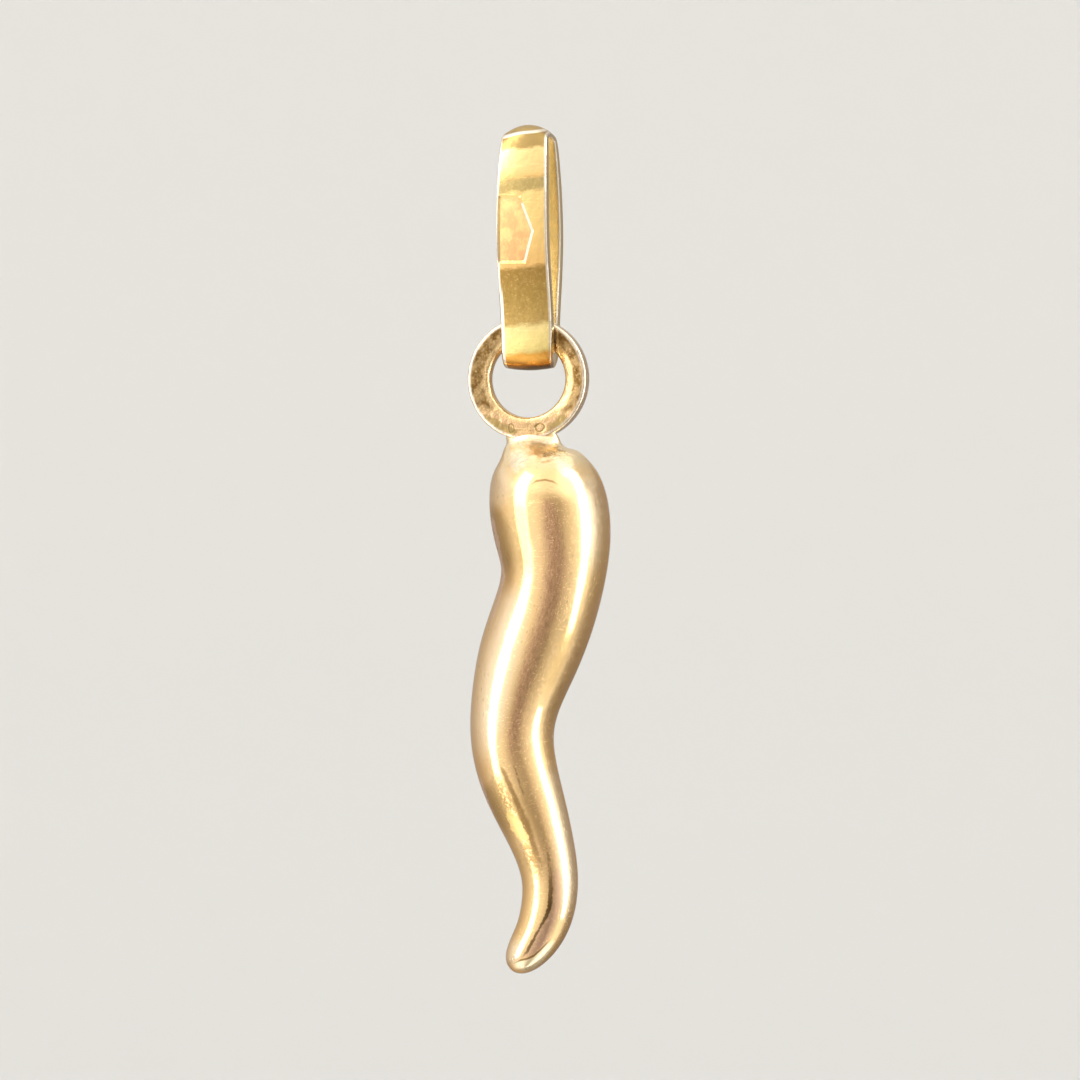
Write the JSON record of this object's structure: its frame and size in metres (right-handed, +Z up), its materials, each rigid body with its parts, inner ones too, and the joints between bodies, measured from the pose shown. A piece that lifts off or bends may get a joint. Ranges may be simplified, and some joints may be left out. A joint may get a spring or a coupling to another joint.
{
  "type": "cornicello horn pendant",
  "caption": "Polished gold little-horn charm: an S-curved hollow horn on a soldered ring that swings in a tall strip bail.",
  "frame": {"origin": "where a neck chain bears on the underside of the bail's top bend, midway between its sides", "axes": "+Z up, with the pendant hanging; the chain runs along X, and the ring and the horn's S-curve lie flat in the XZ plane, facing -Y"},
  "size_m": [0.0055, 0.0042, 0.0319],
  "materials": {
    "bail_gold": "polished yellow gold, hairline scratches",
    "horn_gold": "polished yellow gold, a little worn, heat-stained at the solder"
  },
  "bodies": {
    "bail": {"bail": "bail_gold"},
    "horn": {"horn": "horn_gold"}
  },
  "joints": [
    {"name": "swing", "type": "hinge", "parent": "bail", "child": "horn", "pos_m": [0, 0, -0.00906], "axis": [0, 1, 0], "range_deg": [-115, 115]}
  ]
}
